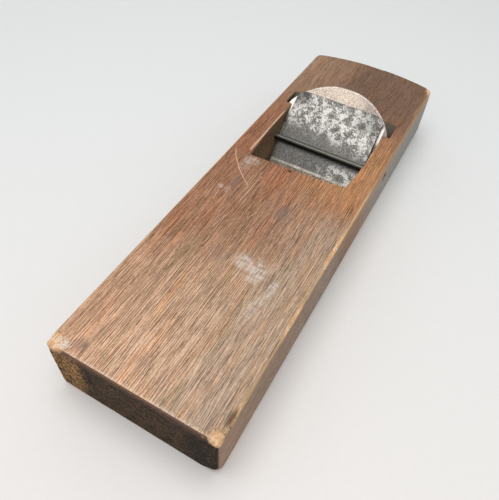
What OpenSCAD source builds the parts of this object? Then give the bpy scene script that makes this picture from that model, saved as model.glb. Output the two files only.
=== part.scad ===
// Wooden hand plane of the pull type: a hardwood block with a slanted throat,
// a wedge-shaped laminated blade held by its edges in two side grooves,
// a laminated chipbreaker lying on the blade, and a steel pin across the throat
// that presses the chipbreaker down.
// The origin is under the middle of the block, on the sole. +X runs to the head,
// the end behind the blade, and +Z is up.

/* [Block] */
// Length of the block, over the crest of the bowed head end
body_len = 293; // [250:1:340]
// Height of the block, from the sole to the top
body_h = 37.5; // [30:0.5:48]
// Thickness of each cheek, outside the groove
cheek_t = 7.7; // [4:0.1:14]
// How far the head end bows out past its corners
head_bow = 7; // [3:0.5:12]
// Radius of the long edges of the sole
sole_edge_r = 5; // [1:0.5:8]
// Chamfer of the upright corners at the tail
tail_corner = 1; // [0.5:0.5:5]
// Width of the small chamfers on the top and the ends
arris = 1; // [0.3:0.1:2]

/* [Throat] */
// Distance from the tail end to the front edge of the mouth
mouth_place = 172; // [150:1:180]
// Length of the mouth in front of the cutting edge
mouth_gap = 1.2; // [0.5:0.1:3]
// Height of the upright wall in front of the mouth
mouth_wall_h = 3; // [1:0.5:6]
// Lean of the throat's front wall, in degrees from upright
front_lean = 23.4; // [10:0.1:35]
// How much each side of the throat narrows from the top to the sole
throat_draft = 2; // [0.5:0.1:3]
// How much each side of the throat is set in at its front edge
throat_set_in = 2.1; // [0.5:0.1:4]
// Length over which the throat widens behind its front edge
throat_splay = 28; // [10:1:40]

/* [Blade] */
// Width of the blade
blade_w = 68.8; // [55:0.2:84]
// Length of the blade, from the cutting edge to the crest of its crown
blade_len = 78.4; // [70:0.2:110]
// Thickness of the blade where it comes out of the block
blade_t = 9.6; // [7:0.1:12]
// Slope of the blade's upper face, in degrees from the sole
blade_slope = 40; // [36:0.5:45]
// Wedge angle between the blade's two faces, in degrees
blade_taper = 1.4; // [0.5:0.1:2.5]
// Angle of the sharpened bevel, in degrees
bevel_angle = 28; // [24:0.5:34]
// Radius of the rounded crown
crown_r = 40; // [38:0.5:60]
// Height up to which the lower corners are ground off
corner_rise = 8; // [5:0.5:12]
// Thickness of the hard steel layer
steel_t = 1.6; // [1:0.1:3]
// Length of the hard steel layer, from the cutting edge
steel_len = 45; // [30:1:60]

/* [Chipbreaker] */
// Length of the chipbreaker
chip_len = 57; // [44:0.2:64]
// Height of its top face above the blade, at its upper end
chip_high = 4.2; // [3.5:0.1:6]
// Height of its top face above the blade, at the bend
chip_low = 3.3; // [2.5:0.1:3.5]
// Length of the bevel below the bend
chip_bevel = 8; // [5:0.5:12]
// Thickness of the lip at its lower edge
chip_lip = 0.7; // [0.5:0.1:1.2]
// Height of the hollow under its upper end
chip_hollow = 1.3; // [0.5:0.1:2]
// Length of its flat contact strip
chip_contact = 2; // [1:0.5:4]
// Side of the triangular ears under its upper corners
ear_side = 9; // [6:0.5:14]
// Radius of its upper corners
chip_corner_r = 5; // [1:0.5:8]
// Thickness of its hard steel layer
chip_steel_t = 0.6; // [0.4:0.1:0.8]
// Length of its hard steel layer
chip_steel_len = 30; // [15:1:38]
// Distance of its edge behind the cutting edge in use
chip_set = 0.5; // [0.2:0.1:2]
// How far it is slid back from its place in use
chip_back = 9.6; // [0:0.1:14]

/* [Pin] */
// Diameter of the pressing pin
pin_d = 4; // [3:0.1:6]
// Depth of the pin's axis below the top of the block
pin_depth = 11.6; // [10:0.1:15]
// Wood left beyond the blind end of the pin's hole
pin_blind = 4; // [2:0.5:6]
// Depth of the pin's end below the open side
pin_recess = 3; // [1:0.5:4]
// Diameter of the worn mouth of the pin's hole
pin_mouth_d = 5.6; // [5:0.1:8]

/* [Fits] */
// How far each edge of the blade reaches into its groove
groove_bite = 2.4; // [1.5:0.1:5]
// Gap beside the blade in each groove
groove_side_gap = 1.9; // [0.5:0.1:3]
// Gap between the blade's upper face and the groove
groove_gap = 0.1; // [0.05:0.01:0.3]
// Gap between the blade and its bed
bed_gap = 0.05; // [0.02:0.01:0.2]
// Gap at each end of the cutting edge in the mouth
edge_side_gap = 0.5; // [0.3:0.1:1.5]
// Height of the cutting edge above the sole
edge_up = 0.3; // [0.1:0.1:1]
// Gap on each side of the chipbreaker in the throat
chip_side_gap = 0.25; // [0.1:0.05:1]
// Gap between the chipbreaker and the blade
chip_gap = 0.03; // [0.02:0.01:0.1]
// Gap between the pin and the chipbreaker in its place in use
pin_gap = 0.1; // [0.05:0.01:0.3]

/* [Hidden] */
$fn = 96;
// how far a cutting shape reaches past what it cuts
past = 20;

// block
groove_w = blade_w + 2 * groove_side_gap;
body_w = groove_w + 2 * cheek_t;
tail_x = -body_len / 2;
head_x = body_len / 2;
head_r = (body_w * body_w / 4 + head_bow * head_bow) / (2 * head_bow);

// throat and mouth
throat_w = blade_w - 2 * groove_bite;
mouth_w = throat_w - 2 * throat_draft;
mouth_x = tail_x + mouth_place;
throat_x = mouth_x - (body_h - mouth_wall_h) * tan(front_lean);

// blade: u runs up its upper face from where that face leaves the block,
// and n stands square to the face
edge_x = mouth_x + mouth_gap;
edge_w = mouth_w - 2 * edge_side_gap;
lip_x = edge_x + (body_h - edge_up) / tan(blade_slope);
sole_x = lip_x - body_h / tan(blade_slope);
edge_u = -(body_h - edge_up) / sin(blade_slope);
crown_u = edge_u + blade_len;
heel_u = (blade_t + edge_u * tan(bevel_angle)) / (tan(bevel_angle) - tan(blade_taper));

// chipbreaker
chip_w = mouth_w - 2 * chip_side_gap;
chip_u = edge_u + chip_set + chip_back;
chip_end_u = chip_u + chip_len;
chip_bend_u = chip_u + chip_bevel;
chip_wedge = (chip_high - chip_low) / (chip_len - chip_bevel);

// pin: it clears the chipbreaker's top face with the chipbreaker in its place in use
pin_u = pin_solve_u();
pin_n = pin_rise(pin_u);
pin_x = lip_x + pin_u * cos(blade_slope) - pin_n * sin(blade_slope);
pin_z = body_h - pin_depth;

// thickness of the blade at u
function thick(u) = blade_t + u * tan(blade_taper);

// height of the pin's axis above the blade at u
function pin_rise(u) =
    chip_low + (u - chip_bend_u + chip_back) * chip_wedge + pin_gap + pin_d / 2;

// place on the blade at which the pin's axis lies at its depth
function pin_solve_u() =
    -(pin_depth + pin_rise(0) * cos(blade_slope))
    / (sin(blade_slope) + chip_wedge * cos(blade_slope));

// --- helpers ---

// turns a shape drawn in u (along X) and n (along Y) into the blade's place,
// right across the block
module on_blade()
    translate([lip_x, body_w / 2, body_h])
        rotate([0, -blade_slope, 0])
            rotate([90, 0, 0])
                linear_extrude(body_w)
                    children();

// turns a shape drawn in u (along X) and y into the blade's place, from n = low to n = high
module across_blade(low, high)
    translate([lip_x, 0, body_h])
        rotate([0, -blade_slope, 0])
            translate([0, 0, low])
                linear_extrude(high - low)
                    children();

// turns a shape drawn in y (along X) and z (along Y) into a bar along the block
module along_block(len)
    rotate([90, 0, 90])
        linear_extrude(len, center = true)
            children();

// width that opens from low_w at the sole to high_w at the height rise
module funnel(low_w, high_w, rise)
    polygon([[-low_w / 2, -past], [low_w / 2, -past], [low_w / 2, 0],
        [high_w / 2, rise], [high_w / 2, body_h + 4 * past],
        [-high_w / 2, body_h + 4 * past], [-high_w / 2, rise], [-low_w / 2, 0]]);

// --- block ---

// section of the block: round lower edges, small chamfers at the top
module block_section() {
    half = body_w / 2;
    centre = half - sole_edge_r;
    polygon(concat(
        [for (a = [180:15:270]) [sole_edge_r * cos(a) - centre, sole_edge_r * (1 + sin(a))]],
        [for (a = [270:15:360]) [sole_edge_r * cos(a) + centre, sole_edge_r * (1 + sin(a))]],
        [[half, body_h - arris], [half - arris, body_h],
            [arris - half, body_h], [-half, body_h - arris]]));
}

// what is cut away to bow the head: all that lies outside a wide disc with chamfered rims
module head_cut()
    difference() {
        translate([0, -body_w, -past])
            cube([body_len, 2 * body_w, body_h + 2 * past]);
        translate([head_x - head_r, 0, 0])
            rotate_extrude($fn = 360)
                polygon([[0, -2 * past], [head_r - arris - 2 * past, -2 * past],
                    [head_r, arris], [head_r, body_h - arris],
                    [head_r - arris - 2 * past, body_h + 2 * past], [0, body_h + 2 * past]]);
    }

// the tail's outline seen from above: chamfered upright corners
module tail_plan() {
    half = body_w / 2;
    polygon([[tail_x, tail_corner - half], [tail_x + tail_corner + past, -half - past],
        [body_len, -half - past], [body_len, half + past],
        [tail_x + tail_corner + past, half + past], [tail_x, half - tail_corner]]);
}

// the tail's outline seen from the side: chamfered upper and lower edges
module tail_profile()
    polygon([[tail_x, arris], [tail_x + arris + past, -past], [body_len, -past],
        [body_len, body_h + past], [tail_x + arris + past, body_h + past],
        [tail_x, body_h - arris]]);

// the throat's outline seen from above: it widens behind its front edge
module throat_plan() {
    spread = throat_set_in / throat_splay;
    front_half = throat_w / 2 - throat_set_in - past * spread;
    back_half = front_half + 2 * body_len * spread;
    translate([throat_x - past, 0])
        polygon([[0, -front_half], [2 * body_len, -back_half],
            [2 * body_len, back_half], [0, front_half]]);
}

// the throat in front of the blade, open at the top and through the mouth
module throat_cut()
    intersection() {
        translate([0, 0, -2 * past])
            linear_extrude(body_h + 4 * past)
                throat_plan();
        rotate([90, 0, 0])
            linear_extrude(body_w, center = true)
                polygon([
                    [mouth_x, -past],
                    [mouth_x, mouth_wall_h],
                    [throat_x, body_h],
                    [throat_x, body_h + past],
                    [lip_x + past / tan(blade_slope), body_h + past],
                    [sole_x, 0],
                    [sole_x, -past]]);
        along_block(2 * body_len)
            funnel(mouth_w, throat_w, body_h);
    }

// the pocket for the blade: the bed below it and a groove at each side
module blade_pocket()
    intersection() {
        on_blade()
            polygon([
                [2 * edge_u, groove_gap],
                [crown_u + past, groove_gap],
                [crown_u + past, -thick(crown_u + past) - bed_gap],
                [2 * edge_u, -thick(2 * edge_u) - bed_gap]]);
        along_block(2 * body_len)
            funnel(mouth_w, groove_w, corner_rise);
    }

// the pin's hole: blind at +Y, with a worn mouth at -Y
module pin_hole()
    translate([pin_x, 0, pin_z])
        rotate([90, 0, 0]) {
            translate([0, 0, pin_blind - body_w / 2])
                cylinder(d = pin_d, h = body_w + past);
            translate([0, 0, body_w / 2 - pin_recess])
                cylinder(d = pin_mouth_d, h = pin_recess + past);
        }

module wooden_body()
    color("sienna")
        difference() {
            intersection() {
                along_block(body_len + past)
                    block_section();
                translate([0, 0, -past])
                    linear_extrude(body_h + 2 * past)
                        tail_plan();
                rotate([90, 0, 0])
                    linear_extrude(body_w + past, center = true)
                        tail_profile();
            }
            head_cut();
            throat_cut();
            blade_pocket();
            pin_hole();
        }

// --- pin ---

module pin()
    color("dimgray")
        translate([pin_x, body_w / 2 - pin_blind, pin_z])
            rotate([90, 0, 0])
                cylinder(d = pin_d, h = body_w - pin_blind - pin_recess);

// --- blade ---

// the whole blade: wedge, bevel, ground-off corners and round crown
module blade_blank()
    intersection() {
        on_blade()
            polygon([[edge_u, 0], [crown_u, 0], [crown_u, -thick(crown_u)],
                [heel_u, -thick(heel_u)]]);
        along_block(2 * body_len)
            funnel(edge_w, blade_w, corner_rise);
        across_blade(-past, past) {
            translate([crown_u - crown_r, 0])
                circle(crown_r, $fn = 180);
            translate([edge_u - past, -groove_w / 2])
                square([crown_u - crown_r - edge_u + past, groove_w]);
        }
    }

// where the hard steel lies: a sheet under the upper face
module steel_zone()
    on_blade()
        translate([edge_u - past, -steel_t])
            square([steel_len + past, steel_t + past]);

module blade_iron()
    color("rosybrown")
        difference() {
            blade_blank();
            steel_zone();
        }

module blade_steel()
    color("lightgray")
        intersection() {
            blade_blank();
            steel_zone();
        }

// --- chipbreaker ---

// the chipbreaker's outline seen square to the blade: round upper corners
module chip_plan() {
    half = chip_w / 2;
    r = chip_corner_r;
    polygon(concat(
        [[chip_u, -half]],
        [for (a = [-90:15:0]) [chip_end_u - r + r * cos(a), r - half + r * sin(a)]],
        [for (a = [0:15:90]) [chip_end_u - r + r * cos(a), half - r + r * sin(a)]],
        [[chip_u, half]]));
}

// the corners that its ears fill, drawn past its outline
module ear_plan()
    for (side = [-1, 1])
        polygon([[chip_end_u - 2 * ear_side, side * (chip_w / 2 + ear_side)],
            [chip_end_u + ear_side, side * (chip_w / 2 - 2 * ear_side)],
            [chip_end_u + ear_side, side * (chip_w / 2 + ear_side)]]);

// the whole chipbreaker: a long wedge with a bevel at its lower end, a hollow
// underside and an ear below each upper corner
module chip_blank()
    intersection() {
        across_blade(-past, past)
            chip_plan();
        union() {
            on_blade()
                polygon([
                    [chip_u, chip_gap],
                    [chip_u + chip_contact, chip_gap],
                    [chip_end_u, chip_gap + chip_hollow],
                    [chip_end_u, chip_high],
                    [chip_bend_u, chip_low],
                    [chip_u, chip_gap + chip_lip]]);
            across_blade(chip_gap, chip_low)
                ear_plan();
        }
    }

// where its hard steel lies: a sheet along the underside
module chip_steel_zone()
    on_blade()
        translate([chip_u - past, -past])
            square([chip_steel_len + past, chip_gap + chip_steel_t + past]);

module chipbreaker_iron()
    color("slategray")
        difference() {
            chip_blank();
            chip_steel_zone();
        }

module chipbreaker_steel()
    color("silver")
        intersection() {
            chip_blank();
            chip_steel_zone();
        }

wooden_body();
pin();
blade_iron();
blade_steel();
chipbreaker_iron();
chipbreaker_steel();
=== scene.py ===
import itertools
import math

import bmesh
import bpy
import numpy as np
from mathutils import Matrix, Vector


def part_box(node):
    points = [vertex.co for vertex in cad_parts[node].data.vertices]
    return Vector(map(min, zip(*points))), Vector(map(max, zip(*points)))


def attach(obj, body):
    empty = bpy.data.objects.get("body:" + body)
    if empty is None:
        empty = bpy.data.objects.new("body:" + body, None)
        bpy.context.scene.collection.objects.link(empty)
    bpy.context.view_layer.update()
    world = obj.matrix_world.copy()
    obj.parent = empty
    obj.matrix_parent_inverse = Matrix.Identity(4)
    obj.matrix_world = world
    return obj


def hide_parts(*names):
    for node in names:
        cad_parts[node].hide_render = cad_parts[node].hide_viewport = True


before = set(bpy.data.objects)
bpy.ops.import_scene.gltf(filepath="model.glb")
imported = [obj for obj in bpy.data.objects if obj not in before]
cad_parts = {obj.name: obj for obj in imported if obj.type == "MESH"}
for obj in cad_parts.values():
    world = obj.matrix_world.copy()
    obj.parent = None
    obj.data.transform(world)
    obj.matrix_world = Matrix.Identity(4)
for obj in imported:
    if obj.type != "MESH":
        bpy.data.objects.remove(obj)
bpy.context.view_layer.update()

MM = 0.001

# ---------------------------------------------------------------- sizes, in millimetres and radians

# the block: X runs from its tail to its head, whose end is bowed
block_low, block_high = (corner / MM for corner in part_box("wooden_body"))
TAIL, HEAD = block_low.x, block_high.x
SIDE = block_high.y
TOP = block_high.z
HEAD_BOW = 7.0
HEAD_R = (SIDE ** 2 + HEAD_BOW ** 2) / (2 * HEAD_BOW)

# the blade's upper face: u runs up it from where it leaves the block, n stands square to it;
# its lower corners are ground off far enough to clear the wood when it slides down
SLOPE = math.radians(40)
BLADE_UP = Vector((math.cos(SLOPE), 0, math.sin(SLOPE)))
BLADE_OUT = Vector((-math.sin(SLOPE), 0, math.cos(SLOPE)))
TAPER = math.radians(1.4)
BEVEL = math.radians(28)
EDGE_UP = 0.3
EDGE_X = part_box("blade_steel")[0].x / MM
LIP = Vector((EDGE_X + (TOP - EDGE_UP) / math.tan(SLOPE), 0, TOP))
EDGE_U = -(TOP - EDGE_UP) / math.sin(SLOPE)
BLADE_LEN = 78.4
CROWN_U = EDGE_U + BLADE_LEN
CROWN_R = 40.0
BLADE_T = 9.6
BLADE_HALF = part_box("blade_iron")[1].y / MM
EDGE_HALF = 28.8
CORNER_RISE = 8.0
STEEL_T = 1.6
STEEL_U = EDGE_U + 45
HOLLOW = 0.28

# the chipbreaker that lies on that face, bent down at its ears
CHIP_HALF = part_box("chipbreaker_iron")[1].y / MM
CHIP_U = EDGE_U + 10.1
CHIP_LEN = 57.0
CHIP_END = CHIP_U + CHIP_LEN
CHIP_BEND = CHIP_U + 8
CHIP_HIGH, CHIP_LOW, CHIP_LIP = 4.2, 3.3, 0.7
CHIP_GAP = 0.03
CHIP_HOLLOW = 1.3
CHIP_CORNER = 5.0
CHIP_STEEL_T = 0.6
CHIP_STEEL_U = CHIP_U + 30
EAR = 9.0

# the throat's front edge and half width, the foot of its front wall, and the side grooves
THROAT_X = 10.57
THROAT_HALF = 29.9
MOUTH_X, MOUTH_Z = 25.5, 3.0
GROOVE_HALF = BLADE_HALF + 1.9

# the block's mesh: how finely it is remade, in metres, and how many triangles it keeps
BLOCK_GRAIN, BLOCK_GRAIN_QUICK = 0.00048, 0.0008
BLOCK_TRIANGLES = 185000

# the pin across the throat
pin_low, pin_high = (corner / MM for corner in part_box("pin"))
PIN_X, PIN_Z = (pin_low.x + pin_high.x) / 2, (pin_low.z + pin_high.z) / 2
PIN_R = (pin_high.x - pin_low.x) / 2


# ---------------------------------------------------------------- shaping helpers

def smooth(low, high, value):
    """0 below low, 1 above high, and an easy curve between."""
    part = np.clip((value - low) / (high - low), 0, 1)
    return part * part * (3 - 2 * part)


def wander(points, size, seed):
    """A smooth random swell from -1 to 1 whose bumps are about size apart along X, Y and Z."""
    cells = points / np.asarray(size, float) + 11.7 * seed
    base = np.floor(cells).astype(np.int64)
    part = cells - base
    part = part * part * (3 - 2 * part)
    total = np.zeros(len(points))
    for corner in itertools.product((0, 1), repeat=3):
        spot = base + corner
        key = spot[:, 0] * 73856093 ^ spot[:, 1] * 19349663 ^ spot[:, 2] * 83492791
        key = (key ^ key >> 13) * 1274126177 & 0x7FFFFFFF
        weight = np.prod(np.where(corner, part, 1 - part), axis=1)
        total += weight * ((key >> 7 & 0xFFFF) / 32767.5 - 1)
    return total


def points_of(mesh):
    """The mesh's points, in millimetres."""
    flat = np.empty(len(mesh.vertices) * 3, np.float32)
    mesh.vertices.foreach_get("co", flat)
    return flat.reshape(-1, 3).astype(float) / MM


def normals_of(mesh):
    """The direction each of the mesh's points faces."""
    flat = np.empty(len(mesh.vertices) * 3, np.float32)
    mesh.vertex_normals.foreach_get("vector", flat)
    return flat.reshape(-1, 3).astype(float)


def put_points(mesh, points):
    """Moves the mesh's points to these places, in millimetres."""
    mesh.vertices.foreach_set("co", (points * MM).astype(np.float32).ravel())
    mesh.update()


def new_piece(name, mesh):
    """A smoothly shaded object in the scene."""
    piece = bpy.data.objects.new(name, mesh)
    bpy.context.scene.collection.objects.link(piece)
    mesh.polygons.foreach_set("use_smooth", [True] * len(mesh.polygons))
    return piece


def applied(piece, *modifiers):
    """Runs the given modifiers on the piece and keeps the mesh that they make."""
    for kind, settings in modifiers:
        made = piece.modifiers.new(kind.lower(), kind)
        for key, value in settings.items():
            setattr(made, key, value)
    shown = piece.evaluated_get(bpy.context.evaluated_depsgraph_get())
    mesh = bpy.data.meshes.new_from_object(shown)
    piece.modifiers.clear()
    piece.data = mesh
    return mesh


# ---------------------------------------------------------------- the wooden block

def ease_arrises(points):
    """Rounds the block's outer edges as hands and benches wear them, most at its corners.

    The tail's upright edges stay sharp, and its two lower corners are the roundest.
    """
    centre = np.array([(TAIL + HEAD) / 2, 0, TOP / 2])
    half = np.array([(HEAD - TAIL) / 2, SIDE, TOP / 2])
    sag = HEAD_R - np.sqrt(HEAD_R ** 2 - points[:, 1] ** 2)
    bow = sag * smooth(HEAD - 45, HEAD - 12, points[:, 0] + sag)
    square = points - centre
    square[:, 0] += bow
    to_corner = np.hypot(half[0] - np.abs(square[:, 0]), half[1] - np.abs(square[:, 1]))
    radius = 1.15 + 0.35 * wander(points, (9, 40, 40), 1) + 0.25 * wander(points, (2.5, 3, 3), 2)
    radius += 0.9 * (1 - smooth(1.5, 6, to_corner)) * smooth(TOP - 12, TOP - 5, points[:, 2])
    radius += 0.9 * smooth(0.5, 0.85, wander(points, (14, 30, 30), 3))
    upright = (1 - smooth(1.5, 5, to_corner)) * (1 - smooth(TOP - 11, TOP - 4, points[:, 2]))
    radius -= 0.75 * upright * smooth(0, 20, -points[:, 0])
    low = 1 - smooth(3, 14, points[:, 2])
    rounded = np.where(points[:, 1] > 0, 1.6, 5.2)
    at_tail = smooth(100, 120, -points[:, 0])
    radius += low * (rounded * (1 - smooth(2, 12, to_corner)) - 0.8) * at_tail
    radius = np.maximum(radius, 0.35)
    core = half - radius[:, None]
    inner = np.clip(square, -core, core)
    away = square - inner
    length = np.linalg.norm(away, axis=1)
    pull = np.minimum(1, radius / np.maximum(length, 1e-6))
    eased = inner + away * pull[:, None] + centre
    eased[:, 0] -= bow
    return eased


# dings in the wood: where, how far they reach along X, Y and Z, and how deep
DINGS = [
    ((TAIL + 3, SIDE - 3.5, TOP), (6, 5, 3), 0.75),
    ((TAIL + 2, -SIDE + 3, TOP), (5, 6, 3), 0.7),
    ((TAIL + 12, -SIDE, TOP - 0.5), (5, 2.2, 2.2), 1.1),
    ((TAIL + 23, -SIDE + 0.5, TOP), (5, 1.5, 2), 0.5),
    ((TAIL + 54, -SIDE, TOP), (3, 1.3, 1.6), 0.45),
    ((TAIL + 96, -SIDE, TOP), (4, 1.2, 1.6), 0.35),
    ((TAIL + 160, -SIDE, TOP), (6, 1.2, 1.6), 0.35),
    ((TAIL + 155.6, 3, TOP), (1.2, 1.1, 2.4), 0.8),
    ((HEAD - 8.5, -SIDE + 1.5, TOP), (5, 4, 3), 0.4),
    ((HEAD, 9, TOP - 6), (2.5, 7, 5), 0.5),
    ((HEAD, -8, TOP - 8), (2.5, 6, 5), 0.45),
    ((HEAD, -1, TOP - 1), (3, 9, 2.5), 0.35),
]


def ding(points, normals):
    """Presses the dings into the wood, with ragged rims."""
    ragged = 1 + 0.35 * wander(points, (1.6, 1.6, 1.6), 5)
    for place, reach, depth in DINGS:
        away = np.linalg.norm((points - place) / reach, axis=1) * ragged
        points = points - normals * (depth * (1 - smooth(0.35, 1, away)))[:, None]
    return points


def skew_throat(points):
    """Cuts the throat's front edge a little askew, nearer the head on the right, as if chiselled."""
    x, y, z = points.T
    wall = THROAT_X + (MOUTH_X - THROAT_X) * (TOP - z) / (TOP - MOUTH_Z)
    shift = 0.4 - 0.043 * y + 0.8 * smooth(18, 30, -y)
    reach = (1 - smooth(2, 14, np.abs(x - wall))) * smooth(MOUTH_Z, TOP, z)
    reach *= 1 - smooth(THROAT_HALF + 1, THROAT_HALF + 6, np.abs(y))
    moved = points.copy()
    moved[:, 0] += shift * reach
    return moved


def worn_block():
    """The block, from its plain shape: edges eased, dings pressed in, faces no longer quite flat."""
    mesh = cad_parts["wooden_body"].data.copy()
    shape = bmesh.new()
    shape.from_mesh(mesh)
    bmesh.ops.remove_doubles(shape, verts=shape.verts, dist=1e-6)
    shape.to_mesh(mesh)
    shape.free()
    mesh.materials.clear()
    piece = new_piece("worn_wooden_block", mesh)
    grain = BLOCK_GRAIN
    applied(piece, ("REMESH", {"mode": "VOXEL", "voxel_size": grain}),
            ("SMOOTH", {"factor": 0.5, "iterations": 2}))
    mesh = piece.data
    points = ease_arrises(skew_throat(points_of(mesh)))
    put_points(mesh, points)
    normals = normals_of(mesh)
    points = ding(points, normals)
    hollow = 0.05 * wander(points, (60, 25, 25), 7) - 0.05
    points = points + normals * hollow[:, None]
    put_points(mesh, points)
    share = min(1, BLOCK_TRIANGLES / (2 * len(mesh.polygons)))
    applied(piece, ("DECIMATE", {"ratio": share}))
    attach(piece, "body")
    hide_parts("wooden_body")
    return piece


# ---------------------------------------------------------------- plates and rods

def skin(name, rings):
    """A closed mesh through rings of points in millimetres, with a flat fan over each end."""
    count = len(rings[0])
    shape = bmesh.new()
    rows = [[shape.verts.new(Vector(p) * MM) for p in ring] for ring in rings]
    for one, two in zip(rows, rows[1:]):
        for i in range(count):
            j = (i + 1) % count
            shape.faces.new((one[i], one[j], two[j], two[i]))
    for row in (rows[0], rows[-1]):
        middle = shape.verts.new(sum((v.co for v in row), Vector()) / count)
        for i in range(count):
            shape.faces.new((row[i], row[(i + 1) % count], middle))
    bmesh.ops.recalc_face_normals(shape, faces=shape.faces)
    mesh = bpy.data.meshes.new(name)
    shape.to_mesh(mesh)
    shape.free()
    return new_piece(name, mesh)


def on_blade(u, y, n):
    """A place on the blade, in the block's frame."""
    return LIP + BLADE_UP * u + BLADE_OUT * n + Vector((0, y, 0))


def arc(y, n, radius, start, end):
    """Points round a quarter turn, from start to end degrees."""
    return [(y + radius * math.cos(math.radians(a)), n + radius * math.sin(math.radians(a)))
            for a in np.linspace(start, end, 6)]


def plate_ring(u, half, top, bottom, rim, foot, across=44):
    """A ring round a plate at u: across its top, round its edges and back underneath."""
    thick = top(u, 0) - bottom(u, 0)
    rim, foot = (min(r, thick * 0.48, half * 0.9) for r in (rim, foot))
    ring = [(y, top(u, y)) for y in np.linspace(rim - half, half - rim, across)[1:-1]]
    ring += arc(half - rim, top(u, half) - rim, rim, 90, 0)
    ring += arc(half - foot, bottom(u, half) + foot, foot, 0, -90)
    ring += [(y, bottom(u, y)) for y in np.linspace(half - foot, foot - half, across)[1:-1]]
    ring += arc(foot - half, bottom(u, -half) + foot, foot, -90, -180)
    ring += arc(rim - half, top(u, -half) - rim, rim, 180, 90)
    return [on_blade(u, y, n) for y, n in ring]


def spread(low, high, step):
    """Stations from low to high, about a step apart."""
    return list(np.linspace(low, high, max(2, round((high - low) / step) + 1)))


def turned_in(left, radius):
    """How far a face has rounded away this close to its end."""
    over = max(0, radius - left)
    return radius - math.sqrt(radius ** 2 - min(over, radius) ** 2)


def blade_half(u):
    """Half the blade's width: ground-off lower corners, straight sides, round crown."""
    height = TOP + u * math.sin(SLOPE)
    low = EDGE_HALF + (BLADE_HALF - EDGE_HALF) * height / CORNER_RISE
    half = min(BLADE_HALF, low)
    over = u - (CROWN_U - CROWN_R)
    if over > 0:
        half = min(half, math.sqrt(max(0.36, CROWN_R ** 2 - over ** 2)))
    return half


def blade_back(u):
    """The blade's underside: wedge above the heel, bevel below it."""
    return -min(BLADE_T + u * math.tan(TAPER), (u - EDGE_U) * math.tan(BEVEL))


def shape_blade_iron():
    """The soft iron back: a wedge with a round crown whose rim is a little hammered over."""
    start = EDGE_U + STEEL_T / math.tan(BEVEL) + 0.15
    stations = spread(start, STEEL_U - 0.02, 1.6) + spread(STEEL_U + 0.02, CROWN_U - 12, 1.6)
    first = math.asin(1 - 12 / CROWN_R)
    stations += [CROWN_U - CROWN_R * (1 - math.sin(a)) for a in spread(first, math.pi / 2 - 0.01, 0.03)[1:]]
    rings = []
    for u in stations:
        under_steel = u < STEEL_U
        face = -STEEL_T if under_steel else 0.0
        inset = turned_in(CROWN_U - u, 1.2)
        rings.append(plate_ring(u, blade_half(u), lambda u, y: face - inset,
                                lambda u, y: blade_back(u) + inset, 0.05 if under_steel else 0.6, 0.9))
    return skin("blade_soft_iron", rings)


def shape_blade_steel():
    """The hard steel face: keen edge, flat rims and a shallow scraped hollow between them."""
    def face(u, y):
        along = smooth(1.5, 7, u - EDGE_U) * (1 - smooth(-5, -1, u - STEEL_U))
        return -HOLLOW * float(along * (1 - smooth(22, 27, abs(y))))

    def back(u, y):
        return -min(STEEL_T, (u - EDGE_U) * math.tan(BEVEL))

    stations = [EDGE_U + 0.05, EDGE_U + 0.4] + spread(EDGE_U + 0.8, STEEL_U, 1.4)
    rings = [plate_ring(u, blade_half(u), face, back, 0.15, 0.05) for u in stations]
    return skin("blade_hard_steel", rings)


def ear_bend(u, y):
    """How far the upper corners are bent down towards the blade."""
    past = (abs(y) - CHIP_HALF) + (u - CHIP_END) + EAR
    return 0.13 * max(0.0, past)


def chip_face(u, y):
    """The chipbreaker's top: a long wedge, then the bevel at its lower end."""
    if u > CHIP_BEND:
        n = CHIP_LOW + (CHIP_HIGH - CHIP_LOW) * (u - CHIP_BEND) / (CHIP_END - CHIP_BEND)
    else:
        n = CHIP_GAP + CHIP_LIP + (CHIP_LOW - CHIP_GAP - CHIP_LIP) * (u - CHIP_U) / (CHIP_BEND - CHIP_U)
    return n - ear_bend(u, y)


def chip_under(u, y):
    """Its underside: a flat contact strip, a hollow, and the ears that reach down to the blade."""
    rise = CHIP_HOLLOW * max(0.0, u - CHIP_U - 2) / (CHIP_LEN - 2)
    return CHIP_GAP + max(0.0, rise - 2.2 * ear_bend(u, y))


def chip_half(u):
    """Half the chipbreaker's width: straight sides and round upper corners."""
    return CHIP_HALF - turned_in(CHIP_END - u, CHIP_CORNER)


def shape_chip_iron():
    """The chipbreaker's soft iron, with round upper corners."""
    corner = [CHIP_END - CHIP_CORNER * (1 - math.sin(a)) for a in spread(0, math.pi / 2 - 0.03, 0.12)]
    stations = spread(CHIP_U + 0.1, CHIP_BEND - 0.5, 1) + spread(CHIP_BEND - 0.2, CHIP_BEND + 0.2, 0.2)
    stations += spread(CHIP_BEND + 0.8, corner[0] - 0.8, 1.3) + corner
    rings = []
    for u in stations:
        over_steel = u < CHIP_STEEL_U
        inset = turned_in(CHIP_END - u, 0.5)
        seam = CHIP_GAP + CHIP_STEEL_T

        def top(u, y):
            return max(chip_face(u, y), seam + 0.05) - inset

        def low(u, y):
            return max(chip_under(u, y), seam) if over_steel else chip_under(u, y) + inset

        rings.append(plate_ring(u, chip_half(u), top, low, 0.45, 0.05 if over_steel else 0.3))
    return skin("chipbreaker_soft_iron", rings)


def shape_chip_steel():
    """The chipbreaker's hard steel: a thin sheet under its lower half."""
    seam = CHIP_GAP + CHIP_STEEL_T
    stations = [u for u in spread(CHIP_U, CHIP_STEEL_U, 1.2) if chip_under(u, 0) < seam - 0.04]
    rings = [plate_ring(u, CHIP_HALF, lambda u, y: seam, chip_under, 0.03, 0.1) for u in stations]
    return skin("chipbreaker_hard_steel", rings)


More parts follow.
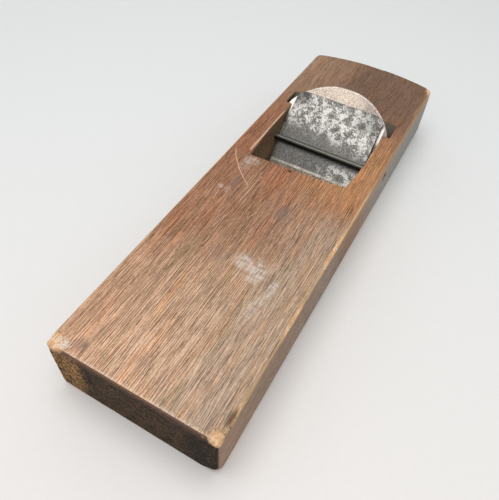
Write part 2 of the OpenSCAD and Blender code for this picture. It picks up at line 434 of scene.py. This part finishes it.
def shape_pin():
    """A round steel rod whose thickness wavers a little, with rounded ends."""
    y0, y1 = pin_low.y, pin_high.y
    near_end = [0.05, 0.2, 0.5, 1.0]
    stations = [y0] + [y0 + s for s in near_end] + spread(y0 + 2, y1 - 2, 1)
    stations += [y1 - s for s in reversed(near_end)] + [y1]
    turns = np.linspace(0, 2 * math.pi, 40, endpoint=False)
    rings = []
    for y in stations:
        radius = PIN_R - turned_in(min(y - y0, y1 - y), 0.9)
        worn = 0.06 * float(wander(np.array([[y, 0, 0]]), (4, 1, 1), 21)[0]) - 0.06
        rings.append([(PIN_X + (radius + worn) * math.cos(a), y, PIN_Z + (radius + worn) * math.sin(a))
                      for a in turns])
    return skin("pressing_pin", rings)


block = worn_block()

blade_iron = shape_blade_iron()
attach(blade_iron, "blade")
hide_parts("blade_iron")

blade_steel = shape_blade_steel()
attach(blade_steel, "blade")
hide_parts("blade_steel")

chip_iron = shape_chip_iron()
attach(chip_iron, "chipbreaker")
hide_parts("chipbreaker_iron")

chip_steel = shape_chip_steel()
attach(chip_steel, "chipbreaker")
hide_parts("chipbreaker_steel")

pin = shape_pin()
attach(pin, "body")
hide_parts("pin")


# ---------------------------------------------------------------- finishes

class Tone:
    """A number, colour or direction that varies over a surface. Arithmetic on it adds nodes."""

    def __init__(self, finish, socket):
        self.finish = finish
        self.socket = socket

    def maths(self, operation, *values):
        return self.finish.node("ShaderNodeMath", {"operation": operation}, dict(enumerate(values)))

    def __add__(self, other):
        return self.maths("ADD", self, other)

    def __sub__(self, other):
        return self.maths("SUBTRACT", self, other)

    def __rsub__(self, other):
        return self.maths("SUBTRACT", other, self)

    def __mul__(self, other):
        return self.maths("MULTIPLY", self, other)

    def __abs__(self):
        return self.maths("ABSOLUTE", self)

    def __pow__(self, other):
        return self.maths("POWER", self, other)

    __radd__ = __add__
    __rmul__ = __mul__


class Finish:
    """A material and the nodes that make its surface, with places in millimetres."""

    def __init__(self, name):
        self.material = bpy.data.materials.new(name)
        self.material.use_nodes = True
        self.tree = self.material.node_tree
        self.tree.nodes.clear()
        place = self.node("ShaderNodeTexCoord", out="Object")
        self.place = self.vector("SCALE", {0: place, "Scale": 1 / MM})
        self.x, self.y, self.z = (self.part(self.place, axis) for axis in "XYZ")
        self.flat = self.vector("MULTIPLY", {0: self.place, 1: (1, 1, 0)})
        facing = self.node("ShaderNodeTexCoord", out="Normal")
        self.nx, self.ny, self.nz = (self.part(facing, axis) for axis in "XYZ")

    def node(self, kind, settings=None, values=None, out=0):
        """Adds a node: its settings first, then the values or links of its sockets."""
        made = self.tree.nodes.new(kind)
        for key, value in (settings or {}).items():
            setattr(made, key, value)
        for key, value in (values or {}).items():
            if isinstance(value, Tone):
                self.tree.links.new(value.socket, made.inputs[key])
            else:
                made.inputs[key].default_value = value
        return Tone(self, made.outputs[out])

    def vector(self, operation, values, out=0):
        return self.node("ShaderNodeVectorMath", {"operation": operation}, values, out)

    def part(self, vector, axis):
        return self.node("ShaderNodeSeparateXYZ", values={0: vector}, out=axis)

    def sine(self, angle):
        return self.node("ShaderNodeMath", {"operation": "SINE"}, {0: angle})

    def either(self, one, two):
        """The greater of two shares."""
        return self.node("ShaderNodeMath", {"operation": "MAXIMUM"}, {0: one, 1: two})

    def step(self, low, high, value):
        """0 at low, 1 at high and an easy curve between; it falls when low is above high."""
        if low > high:
            return 1 - self.step(high, low, value)
        return self.node("ShaderNodeMapRange", {"interpolation_type": "SMOOTHSTEP"},
                         {"Value": value, "From Min": low, "From Max": high})

    def blend(self, share, one, two):
        """One colour where share is 0, the other where it is 1."""
        one, two = (colour if isinstance(colour, Tone) else (*colour, 1) for colour in (one, two))
        return self.node("ShaderNodeMix", {"data_type": "RGBA"}, {0: share, 6: one, 7: two}, out=2)

    def tint(self, colour, share, tone):
        """The colour times a tone, where share is 1."""
        return self.node("ShaderNodeMix", {"data_type": "RGBA", "blend_type": "MULTIPLY"},
                         {0: share, 6: colour, 7: (*tone, 1)}, out=2)

    def shade(self, colour, amount):
        """The colour times a number that varies."""
        return self.vector("SCALE", {0: colour, "Scale": amount})

    def cloud(self, size, seed, detail=2.0, rough=0.5, place=None):
        """Soft noise from 0 to 1 whose grain is about size along X, Y and Z."""
        fineness = tuple(1 / s for s in size)
        start = (seed * 7.3, seed * 3.1, seed * 5.7)
        scaled = self.vector("MULTIPLY_ADD", {0: place or self.place, 1: fineness, 2: start})
        return self.node("ShaderNodeTexNoise", values={"Vector": scaled, "Scale": 1.0, "Detail": detail,
                                                       "Roughness": rough})

    def line(self, start, end, width):
        """1 on a thin straight wall between two places seen from above."""
        start, end = Vector((*start, 0)), Vector((*end, 0))
        run = end - start
        away = self.vector("SUBTRACT", {0: self.flat, 1: start})
        share = self.vector("DOT_PRODUCT", {0: away, 1: run / run.length_squared}, out="Value")
        share = self.node("ShaderNodeClamp", values={"Value": share})
        foot = self.vector("SCALE", {0: run, "Scale": share})
        gap = self.vector("DISTANCE", {0: away, 1: foot}, out="Value")
        return 1 - self.step(width * 0.4, width * 1.4, gap)

    def near(self, spot, reach, core=0.4, rag=0.0):
        """1 at a spot, falling to 0 at its reach along X, Y and Z."""
        away = self.vector("SUBTRACT", {0: self.place, 1: spot})
        away = self.vector("DIVIDE", {0: away, 1: reach})
        length = self.vector("LENGTH", {0: away}, out="Value")
        return 1 - self.step(core, 1, length + rag)

    def surface(self, colour, roughness, bump, depth, metallic=0.0, ior=1.5):
        """Ends the material: a Principled surface with a bump, depth in millimetres."""
        normal = self.node("ShaderNodeBump", values={"Height": bump, "Distance": depth * MM, "Strength": 1.0})
        shader = self.node("ShaderNodeBsdfPrincipled",
                           values={"Base Color": colour, "Roughness": roughness, "Metallic": metallic,
                                   "IOR": ior, "Normal": normal})
        output = self.tree.nodes.new("ShaderNodeOutputMaterial")
        self.tree.links.new(shader.socket, output.inputs["Surface"])
        return self.material


# bare, golden wood where the block's corners have flaked: place and reach
BARE = [
    ((TAIL + 1.5, SIDE - 2.5, TOP), (7, 8, 5)),
    ((TAIL + 1, 2 - SIDE, TOP), (5.5, 5, 4)),
    ((TAIL + 13.5, 1 - SIDE, TOP), (8, 1.4, 2.5)),
    ((HEAD - 9, 0.6 - SIDE, TOP - 0.5), (7, 3.6, 5)),
    ((-34, 0.8 - SIDE, TOP), (22, 1.5, 2)),
    ((-82, 0.7 - SIDE, TOP), (16, 1.3, 2)),
]

# white residue, dark smears and scratches on the top: place, reach, strength
RESIDUE = [
    ((-66.1, -15.5), (10, 8), 0.75),
    ((-62.7, -6.5), (8, 6), 0.6),
    ((-72, -27), (10, 3.4), 0.6),
    ((-85, -25), (10, 4.5), 0.4),
    ((5.0, 26.5), (5, 8), 0.45),
    ((-1, 28.0), (7, 4), 0.25),
    ((-22.9, 31.0), (2.4, 2.4), 0.6),
    ((-23, 26.1), (4, 1.8), 0.45),
]
SMEARS = [
    ((-15.1, 25.4), (9, 2.6), 0.55),
    ((-23.5, -8.8), (8, 7), 0.5),
    ((-139, 29), (4.5, 3.5), 0.5),
    ((-66, 6), (9, 7), 0.3),
    ((-133, 1), (7, 5), 0.2),
]
# scratches: where they start and end, and strength; the first five make one curve
SCRATCHES = [
    ((9.5, 39.8), (4.3, 36.8), 0.9),
    ((4.3, 36.8), (-0.3, 33.1), 1.0),
    ((-0.3, 33.1), (-5.7, 28.4), 1.0),
    ((-5.7, 28.4), (-10.6, 23.0), 1.0),
    ((-10.6, 23.0), (-14.3, 18.4), 0.9),
    ((-4.2, 15.2), (-27.2, 15.8), 0.75),
    ((-27, 34), (-35, 33), 0.6),
    ((-41, 17), (-52, 18.5), 0.6),
    ((-26, 30), (-34, 29), 0.6),
    ((-90, 3), (-104, 4), 0.7),
    ((-35, -20), (-43, -17), 0.5),
    ((-30, 3), (-37, 6), 0.5),
]

# the oak's colours along its top, from the dry tail to the polished head
DRY_OAK, BUFF_OAK = (0.60, 0.385, 0.26), (0.53, 0.345, 0.23)
BROWN_OAK, RED_OAK = (0.365, 0.2, 0.122), (0.33, 0.158, 0.09)
GREYED_OAK, ORANGE_OAK = (0.445, 0.325, 0.237), (0.485, 0.24, 0.11)
POLISHED_LEFT, POLISHED_RIGHT = (0.345, 0.207, 0.13), (0.2, 0.113, 0.071)

# dark and light grain of the right side's far part, greyed there by a painted reflection of the floor, and of
# the edges that hands have rubbed
FLOOR_REFLECTION_GRAIN = (0.23, 0.213, 0.185), (0.38, 0.36, 0.32)
RUBBED_GRAIN = (0.3, 0.17, 0.09), (0.56, 0.34, 0.19)
HANDLED_GRAIN = (0.2, 0.1, 0.05), (0.56, 0.31, 0.15)

# end grain
DARK_END, GOLDEN_END = (0.046, 0.024, 0.011), (0.215, 0.11, 0.038)
END_SPECK, END_TOP, CRACK = (0.2, 0.115, 0.046), (0.15, 0.085, 0.062), (0.025, 0.016, 0.012)

# throat walls, and the painted shade in the grooves and on the bed behind them
DARK_WALL, OLIVE_WALL = (0.15, 0.092, 0.045), (0.3, 0.19, 0.095)
GROOVE_SHADE_LOW, GROOVE_SHADE_HIGH = (0.035, 0.027, 0.018), (0.12, 0.105, 0.08)

# worn edges, flakes and stains
TAIL_EDGE, FRONT_EDGE, HEAD_EDGE = (0.6, 0.39, 0.2), (0.85, 0.55, 0.3), (0.5, 0.285, 0.14)
END_EDGE, DRY_EDGE, THROAT_LIP = (0.11, 0.06, 0.042), (0.88, 0.64, 0.47), (0.78, 0.5, 0.33)
BARE_WOOD, BARE_WOOD_LIGHT = (0.74, 0.41, 0.2), (1.0, 0.69, 0.43)
CHALK, DENT, WHITE_RESIDUE = (0.86, 0.78, 0.7), (0.1, 0.055, 0.03), (0.8, 0.72, 0.64)
DARK_SMEAR, SCRATCHED = (0.2, 0.155, 0.15), (0.72, 0.46, 0.33)


class OldOak(Finish):
    """The block's wood: pale and dry at the tail, dark and polished by hands at the head."""

    def __init__(self):
        super().__init__("aged_oak")
        self.blot = self.cloud((60, 22, 22), 1, 3, 0.6) - 0.5
        self.ragged = self.cloud((6, 1.2, 1.2), 10, 3, 0.6) - 0.5
        self.fleck = self.cloud((1.5, 0.7, 0.7), 14, 2, 0.6) - 0.5
        self.rightward = self.y * -1 + self.blot * 30
        self.left = self.step(0, 34, self.y + self.blot * 30)
        self.right = self.step(2, 36, self.rightward)
        self.at_head = self.step(50, 100, self.x)

        # growth lines about a millimetre apart, broken up by fibres and open pores
        swing = self.cloud((34, 3.4, 3.4), 3, 2, 0.5)
        rows = self.sine((self.y + self.z * 0.83) * 6.4 + swing * 18) * 0.5
        fibre = self.cloud((18, 0.4, 0.4), 4, 2, 0.55) - 0.5
        self.grain = self.step(-0.36, 0.36, rows * 0.5 + fibre * 2.3 + self.fleck * 0.7)
        self.pores = self.step(0.57, 0.68, self.cloud((8, 0.36, 0.36), 5, 1, 0.5))

        # the end faces, the long sides, and all that lies below the top's own surface
        self.end = self.step(0.55, 0.85, abs(self.nx))
        self.side = self.step(0.6, 0.85, abs(self.ny)) * self.step(SIDE - 2, SIDE - 0.5, abs(self.y))
        self.inside = (1 - self.step(TOP - 0.9, TOP - 0.4, self.z)) * (1 - self.step(100, 110, self.x))

    def grained(self, dark, light):
        """One colour in the grain's dark lines, another between them."""
        return self.blend(self.grain, dark, light)

    def handled_top(self):
        """The top's colour along its length and from side to side."""
        along = self.x + self.blot * 60
        colour = self.blend(self.step(-140, -95, along), DRY_OAK, BUFF_OAK)
        colour = self.blend(self.step(-92, -42, along), colour, BROWN_OAK)
        colour = self.blend(self.step(-30, 25, along), colour, RED_OAK)
        colour = self.tint(colour, self.left * 0.9, (0.97, 0.88, 0.83))
        greyed = self.right * 0.85 * (1 - self.step(-40, 5, self.x))
        colour = self.blend(greyed, colour, GREYED_OAK)
        warm = self.step(-20, 5, self.x) * (1 - self.step(55, 85, self.x)) * self.step(-5, 25, self.rightward)
        colour = self.blend(warm * 0.8, colour, ORANGE_OAK)
        dark = self.blend(self.left, POLISHED_RIGHT, POLISHED_LEFT)
        return self.blend(self.step(52, 98, self.x + self.blot * 50 + self.ragged * 14), colour, dark)

    def with_grain(self, colour):
        """Adds patches of red and olive that run along the fibres, then the grain itself."""
        red = self.step(0.48, 0.68, self.cloud((45, 6, 6), 2, 3, 0.6))
        colour = self.tint(colour, red * 0.7, (1.12, 0.92, 0.76))
        olive = self.step(0.5, 0.7, self.cloud((38, 5, 5), 11, 3, 0.6))
        colour = self.tint(colour, olive * 0.8, (0.84, 0.9, 0.84))
        quiet = 1 - self.at_head * 0.25
        colour = self.tint(colour, (1 - self.grain) * (quiet - self.right * 0.25), (0.48, 0.455, 0.43))
        colour = self.tint(colour, self.pores * quiet * 0.8, (0.42, 0.38, 0.35))
        bright = self.step(0.56, 0.7, self.cloud((12, 0.4, 0.4), 6, 1, 0.5))
        gain = 1.46 - self.right * 0.08 + bright * 0.35 + self.fleck * 0.6
        return self.shade(colour, gain * (1 - self.at_head * 0.13))

    def with_end_grain(self, colour):
        """The ends are dark and finely crossed, golden at the left, with a crack under the top edge."""
        slant = self.node("ShaderNodeCombineXYZ", values={0: self.x, 1: self.y + self.z * 0.6,
                                                          2: self.z - self.y * 0.6})
        crossed = self.cloud((4, 4.0, 1.0), 8, 2, 0.6, place=slant)
        crossed = crossed * self.cloud((4, 0.9, 2.8), 9, 2, 0.6, place=slant)
        golden = self.step(23, 31, self.y + (self.z - 20) * 0.2 + self.blot * 16)
        ends = self.blend(golden, DARK_END, GOLDEN_END)
        dull = self.either(self.near((TAIL, 23.5, 27), (5, 5, 17), 0.3, self.ragged),
                           self.step(-24, -36, self.y + self.blot * 20))
        ends = self.tint(ends, dull * 0.85, (0.2, 0.22, 0.27))
        ends = self.shade(ends, self.step(0.17, 0.33, crossed) * 2.3 + 0.08)
        specks = self.step(0.6, 0.72, self.cloud((3, 1.9, 0.8), 15, 1, 0.6, place=slant))
        ends = self.blend(specks * 0.85, ends, END_SPECK)
        level = self.z + self.blot * 8 + self.ragged * 1.2
        ends = self.blend(self.step(TOP - 3.8, TOP - 2.8, level) * 0.45, ends, END_TOP)
        crack = self.step(0.7, 0.2, abs(level - (TOP - 4))) * self.step(28, 22, abs(self.y + 2))
        ends = self.blend(crack * 0.8, ends, CRACK)
        return self.blend(self.end, colour, ends)

    def with_sides(self, colour):
        """The long sides are duller than the top, lighter and bluer towards the head with a painted sheen,
        the right one grey towards the head with a painted reflection of the floor, and with a rubbed upper
        edge.
        """
        colour = self.tint(colour, self.side, (0.66, 0.6, 0.58))
        # painted sheen: the sides turn lighter and bluer towards the head
        colour = self.tint(colour, self.side * self.step(-110, -20, self.x), (1.05, 1.2, 1.35))
        right_side = self.side * self.step(0, -1, self.y)
        # painted reflection of the pale floor: the right side turns grey towards the head
        greyed = right_side * self.step(-20, 60, self.x)
        colour = self.blend(greyed * 0.8, colour, self.grained(*FLOOR_REFLECTION_GRAIN))
        rubbed = right_side * self.step(TOP - 12, TOP - 4, self.z + self.ragged * 6)
        rubbed = rubbed * self.step(-60, 0, self.x)
        return self.blend(rubbed * 0.75, colour, self.grained(*RUBBED_GRAIN))

    def with_throat(self, colour):
        """Olive throat walls, and painted shade in the grooves and on the bed, darkest deepest down."""
        across = abs(self.y)
        throat = self.inside * (1 - self.step(33, 34, across)) * self.step(THROAT_X - 3, THROAT_X - 1, self.x)
        wall = self.blend(self.step(-0.15, 0.2, self.blot + self.fleck), DARK_WALL, OLIVE_WALL)
        colour = self.blend(throat * 0.9, colour, wall)
        groove = self.step(THROAT_HALF + 2.6, THROAT_HALF + 3.2, across) * self.step(15, 20, self.x)
        behind = (self.x - LIP.x) * math.sin(SLOPE) - (self.z - TOP) * math.cos(SLOPE)
        # painted shade: the grooves and the bed behind the blade are darkened, most of all deep down
        deep = self.either(groove, self.step(0.2, 1.0, behind)) * self.inside
        deep = deep * (1 - self.step(GROOVE_HALF + 0.4, GROOVE_HALF + 0.9, across))
        painted_groove_shade = self.blend(self.step(TOP - 8, TOP - 1, self.z + self.fleck * 6), GROOVE_SHADE_LOW, GROOVE_SHADE_HIGH)
        return self.blend(deep * 0.95, colour, painted_groove_shade)

    def with_worn_edges(self, colour):
        """Worn arrises: golden outside, dull purple across the ends, pale at the throat's left."""
        corner = abs(self.nx * self.nz) + abs(self.ny * self.nz) + abs(self.nx * self.ny)
        outer = self.either(self.step(SIDE - 3.4, SIDE - 2.4, abs(self.y)),
                            self.step(TAIL + 3, TAIL + 2, self.x))
        edge = self.step(0.24, 0.46, corner + self.ragged * 0.6) * outer
        edge = edge * self.step(TOP - 3.5, TOP - 1.5, self.z)
        gilt = self.blend(self.step(0, 40, self.x), FRONT_EDGE, HEAD_EDGE)
        gilt = self.blend(self.step(-90, -20, self.x), TAIL_EDGE, gilt)
        worn = self.blend(self.step(0.3, 0.6, abs(self.nx)), gilt, END_EDGE)
        colour = self.blend(edge * 0.75, colour, worn)
        handled = self.step(4 - SIDE, 1 - SIDE, self.y + self.ragged * 3) * self.step(20, 60, self.x)
        handled = handled * self.step(TOP - 3, TOP - 1, self.z) * (1 - self.end)
        colour = self.blend(handled * 0.5, colour, self.grained(*HANDLED_GRAIN))
        dry = self.step(TAIL + 2.4, TAIL + 1.7, self.x + self.ragged * 5) * self.step(0.8, 0.9, self.nz)
        dry = dry * self.step(-0.2, -0.02, self.fleck + self.ragged)
        colour = self.blend(dry * 0.65, colour, DRY_EDGE)
        lip = self.step(31.4, 31.8, self.y) * self.step(33.2, 32.6, self.y + self.ragged * 0.8)
        lip = lip * self.step(12, 15, self.x) * self.step(63, 58, self.x)
        lip = lip * self.step(TOP - 1.0, TOP - 0.4, self.z)
        return self.blend(lip * 0.85, colour, THROAT_LIP)

    def with_flakes(self, colour):
        """Bare wood where corners have flaked, with chalk on one and dark dents beside them."""
        bare_wood = self.blend(self.step(-0.08, 0.15, self.fleck + self.ragged), BARE_WOOD, BARE_WOOD_LIGHT)
        for spot, reach in BARE:
            bare = self.near(spot, reach, 0.55, self.ragged * 1.2)
            colour = self.blend(bare * 0.9, colour, bare_wood)
        chalk = self.near((TAIL + 4.2, 37.0, TOP), (3.0, 5.6, 3), 0.5, self.ragged * 1.6)
        colour = self.blend(chalk * self.step(-0.12, 0.08, self.fleck) * 0.85, colour, CHALK)
        dent = self.near((TAIL + 12, 1.5 - SIDE, TOP), (6, 2.6, 3), 0.3, self.ragged * 0.9)
        dent = self.either(dent, self.near((TAIL + 155.3, 3, TOP), (1.6, 1.5, 3), 0.5))
        return self.blend(dent * 0.85, colour, DENT)

    def with_stains(self, colour):
        """White residue that shows the grain in a crossed hatch, and dark smears."""
        hatch = self.cloud((5, 0.75, 3), 12, 1) * 0.5 + self.cloud((0.9, 5, 3), 13, 1) * 0.5
        hatch = self.step(0.44, 0.56, hatch) * 0.75 + 0.25
        for spot, reach, strength in RESIDUE:
            patch = self.near((*spot, TOP), (*reach, 4), 0.25, self.ragged * 1.1)
            colour = self.blend(patch * hatch * strength, colour, WHITE_RESIDUE)
        for spot, reach, strength in SMEARS:
            patch = self.near((*spot, TOP), (*reach, 4), 0.1, self.ragged * 0.8)
            colour = self.blend(patch * strength, colour, DARK_SMEAR)
        return colour


def aged_wood():
    """The whole of the block's finish, from its plain colour up to its scratches."""
    oak = OldOak()
    colour = oak.with_end_grain(oak.with_grain(oak.handled_top()))
    colour = oak.with_worn_edges(oak.with_throat(oak.with_sides(colour)))
    colour = oak.with_stains(oak.with_flakes(colour))
    scratch = 0.0
    for start, finish, strength in SCRATCHES:
        scratch = oak.either(scratch, oak.line(start, finish, 0.3) * strength)
    colour = oak.blend(scratch * oak.step(TOP - 0.5, TOP - 0.2, oak.z), colour, SCRATCHED)
    bump = oak.grain * 0.7 - oak.pores * 0.7 + oak.fleck * 0.5 - scratch * 0.5
    roughness = 0.58 - oak.step(0, 40, oak.x) * 0.12 + oak.pores * 0.15 + oak.end * 0.25
    return oak.surface(colour, roughness, bump, 0.13, ior=1.33)


def along_blade(f):
    """How far up the blade's face a point lies, from where the blade leaves the block."""
    return (f.x - LIP.x) * math.cos(SLOPE) + (f.z - LIP.z) * math.sin(SLOPE)


def mottled_chip():
    """Dark iron whose upper half has gone white and pitted, with its ground bevel at the lower end painted
    pale: bare steel and a painted reflection of the pale floor.
    """
    f = Finish("mottled_dark_iron")
    u = along_blade(f)
    patch = f.cloud((5, 5, 5), 1, 4, 0.7) - 0.5
    speck = f.cloud((0.9, 0.9, 0.9), 2, 3, 0.65) - 0.5
    upper = f.step(-18, -7, u + patch * 22 - f.y * 0.132)
    lower = (1 - f.step(-33, -27, u)) * f.step(2, 16, f.y * -1 + patch * 26)
    clean = f.near(tuple(on_blade(4, -26, 4)), (7, 6, 7), 0.3) * 0.5
    clean = f.either(clean, f.near(tuple(on_blade(8, 28, 4)), (15, 14, 15), 0.25) * 0.95)
    clean = f.either(clean, f.step(-8, -22, f.y) * f.step(-6, 1, u) * 0.7)
    white = f.step(-0.05, 0.12, patch * 1.5 + speck * 0.75) * (upper * (1 - clean) + lower)

    streak = f.cloud((9, 1.1, 9), 3, 2, 0.6)
    dark = f.blend(f.step(-0.2, 0.2, speck), (0.075, 0.072, 0.067), (0.25, 0.238, 0.22))
    dark = f.shade(dark, 0.75 + streak * 0.5)
    grey = f.blend(f.step(-0.15, 0.12, speck + patch), (0.13, 0.123, 0.112), (0.5, 0.475, 0.44))
    grey = f.shade(grey, 1 - clean * 0.6)
    colour = f.blend(f.step(-22, -5, u - f.y * 0.13) * 0.85, dark, grey)
    pitted = f.blend(f.step(-0.2, 0.05, speck), (0.66, 0.64, 0.59), (0.98, 0.96, 0.9))
    colour = f.blend(white * 0.95, colour, pitted)

    # the bevel's pale colour is bare ground steel plus a painted reflection of the pale floor
    bevel = 1 - f.step(CHIP_BEND + 1.0, CHIP_BEND + 1.9, u + speck * 2.6)
    bare_steel_and_reflection = f.blend(f.step(-0.1, 0.15, speck + patch), (0.42, 0.38, 0.31), (0.88, 0.82, 0.7))
    colour = f.blend(bevel * 0.85, colour, bare_steel_and_reflection)
    # painted shade: a dark band along the fold of the right ear, where the bent corner turns from the light
    past = abs(f.y) + u - (CHIP_HALF + CHIP_END - EAR)
    ear_fold_shade = f.step(0.1, 0.5, past) * f.step(2.4, 1.4, past) * f.step(0, -5, f.y)
    colour = f.blend(ear_fold_shade * 0.6, colour, (0.08, 0.075, 0.07))
    rim = f.either(f.step(CHIP_HALF - 0.6, CHIP_HALF - 0.2, abs(f.y)),
                   f.step(CHIP_END - 0.7, CHIP_END - 0.2, u))
    colour = f.blend(rim * 0.75, colour, (0.07, 0.063, 0.055))
    return f.surface(colour, 0.45 + white * 0.25, speck + patch, 0.12, metallic=0.55 - white * 0.4)


def rusty_crown():
    """Iron with a coppery bloom on the crown, bright beside the chipbreaker and dark on its sides."""
    f = Finish("rust_speckled_iron")
    u = along_blade(f)
    speck = f.cloud((0.8, 0.8, 0.8), 1, 3, 0.7)
    patch = f.cloud((7, 7, 7), 2, 3, 0.6)
    colour = f.blend(f.step(0.36, 0.62, speck), (0.37, 0.3, 0.245), (0.78, 0.66, 0.56))
    right = f.step(4, 20, f.y * -1 + (patch - 0.5) * 22)
    dull = f.blend(f.step(0.4, 0.6, speck), (0.2, 0.155, 0.14), (0.4, 0.32, 0.29))
    colour = f.blend(right * 0.85, colour, dull)
    from_middle = ((u - (CROWN_U - CROWN_R)) ** 2 + f.y ** 2) ** 0.5
    rim = f.step(CROWN_R - 1.3, CROWN_R - 0.5, from_middle) * f.step(0.4, 0.55, speck)
    colour = f.blend(rim * 0.55, colour, (0.95, 0.87, 0.78))

    flank = f.step(26, 28, abs(f.y))
    colour = f.blend(flank * (1 - f.step(4, 9, u)) * 0.8, colour, (0.26, 0.2, 0.175))
    rubbed = f.step(CHIP_HALF + 1.9, CHIP_HALF + 1.3, abs(f.y)) * f.step(6, 2, u) * flank
    rubbed = f.either(rubbed, f.step(24, 28, f.y) * (1 - f.step(5, 8, u))) * f.step(-9, -5, u)
    colour = f.blend(rubbed, colour, (1.0, 0.96, 0.9))
    out = (f.x - LIP.x) * -math.sin(SLOPE) + (f.z - LIP.z) * math.cos(SLOPE)
    below = 1 - f.step(-1.2, -0.5, out)
    colour = f.blend(below, colour, f.blend(speck, (0.06, 0.055, 0.045), (0.17, 0.16, 0.135)))
    return f.surface(colour, 0.4 + speck * 0.2, speck, 0.05, metallic=0.6)


def ground_steel(name, bare):
    """Steel with fine grinding lines along it and a few dull patches."""
    f = Finish(name)
    lines = f.cloud((30, 0.25, 0.6), 1, 2, 0.6)
    patch = f.step(0.55, 0.7, f.cloud((6, 6, 6), 2, 3, 0.6))
    colour = f.shade(f.blend(patch * 0.5, bare, (0.35, 0.3, 0.26)), 0.85 + lines * 0.3)
    return f.surface(colour, 0.3 + lines * 0.2, lines, 0.02, metallic=0.9)


def dark_pin():
    """Dark steel, with painted shade underneath and a painted highlight where it faces up."""
    f = Finish("dark_old_wire")
    speck = f.cloud((1.5, 1.5, 1.5), 1, 3, 0.6)
    # painted highlight: the lighter speckled colour on the pin's upward face; the near black below it is
    # painted shade
    rubbed = f.blend(speck, (0.065, 0.062, 0.052), (0.2, 0.19, 0.165))
    colour = f.blend(f.step(-0.1, 0.9, f.nz), (0.018, 0.016, 0.013), rubbed)
    return f.surface(colour, 0.28 + speck * 0.2, speck, 0.04, metallic=0.7)


for piece, finish in ((block, aged_wood()), (chip_iron, mottled_chip()), (blade_iron, rusty_crown()),
                      (blade_steel, ground_steel("bright_hard_steel", (0.46, 0.44, 0.41))),
                      (chip_steel, ground_steel("ground_chip_steel", (0.42, 0.4, 0.37))),
                      (pin, dark_pin())):
    piece.data.materials.clear()
    piece.data.materials.append(finish)


# ---------------------------------------------------------------- floor, light and camera

def pale_floor():
    """A broad sheet under the plane, a little warmer towards the tail: painted light, warm near the tail and
    cooler away from it.
    """
    size = 4.0
    corners = [(-size, -size, 0), (size, -size, 0), (size, size, 0), (-size, size, 0)]
    mesh = bpy.data.meshes.new("floor")
    mesh.from_pydata(corners, [], [(0, 1, 2, 3)])
    floor = new_piece("floor", mesh)
    f = Finish("pale_sweep")
    grain = f.cloud((3, 3, 3), 1, 2)
    away = f.x * 0.9 + f.y * 0.44
    # painted light: warmer and a touch lighter towards the tail, cooler away from it
    colour = f.blend(f.step(-260, 140, away), (0.915, 0.88, 0.855), (0.865, 0.875, 0.865))
    floor.data.materials.append(f.surface(f.shade(colour, 0.985 + grain * 0.03), 0.6, grain, 0.01))


def soft_light(name, place, aim, size, power, colour):
    """A round lamp, in metres and watts, turned towards its aim."""
    lamp = bpy.data.lights.new(name, "AREA")
    lamp.shape = "DISK"
    lamp.size = size
    lamp.energy = power
    lamp.color = colour
    lamp_object = bpy.data.objects.new(name, lamp)
    lamp_object.location = place
    lamp_object.rotation_euler = (Vector(aim) - Vector(place)).to_track_quat("-Z", "Y").to_euler()
    bpy.context.scene.collection.objects.link(lamp_object)


def room_light(colour, strength):
    """Even light from all round."""
    world = bpy.data.worlds.new("pale_room")
    world.use_nodes = True
    background = world.node_tree.nodes["Background"]
    background.inputs["Color"].default_value = (*colour, 1)
    background.inputs["Strength"].default_value = strength
    bpy.context.scene.world = world


def set_camera(place, heading, dip, roll, lens_length):
    """Looks down from a place in millimetres, at angles in degrees, through a lens in millimetres."""
    heading, dip, roll = (math.radians(angle) for angle in (heading, dip, roll))
    ahead = Vector((math.cos(heading) * math.cos(dip), math.sin(heading) * math.cos(dip), -math.sin(dip)))
    level = Vector((math.sin(heading), -math.cos(heading), 0))
    upright = level.cross(ahead)
    right = level * math.cos(roll) + upright * math.sin(roll)
    up = upright * math.cos(roll) - level * math.sin(roll)
    lens = bpy.data.cameras.new("camera")
    lens.lens = lens_length
    lens.sensor_width = 36
    camera = bpy.data.objects.new("camera", lens)
    camera.matrix_world = Matrix((right, up, -ahead)).transposed().to_4x4()
    camera.location = Vector(place) * MM
    bpy.context.scene.collection.objects.link(camera)
    bpy.context.scene.camera = camera


pale_floor()
room_light(colour=(0.955, 0.98, 1.0), strength=0.53)
soft_light("softbox", place=(-0.13, 0.02, 1.05), aim=(0, 0, 0), size=0.9, power=6.0,
           colour=(1.0, 0.985, 0.965))
set_camera(place=(TAIL - 56.64, -78.37, 233.57), heading=26.1, dip=50.03, roll=4.19, lens_length=36.62)
bpy.context.scene.view_settings.view_transform = "Standard"
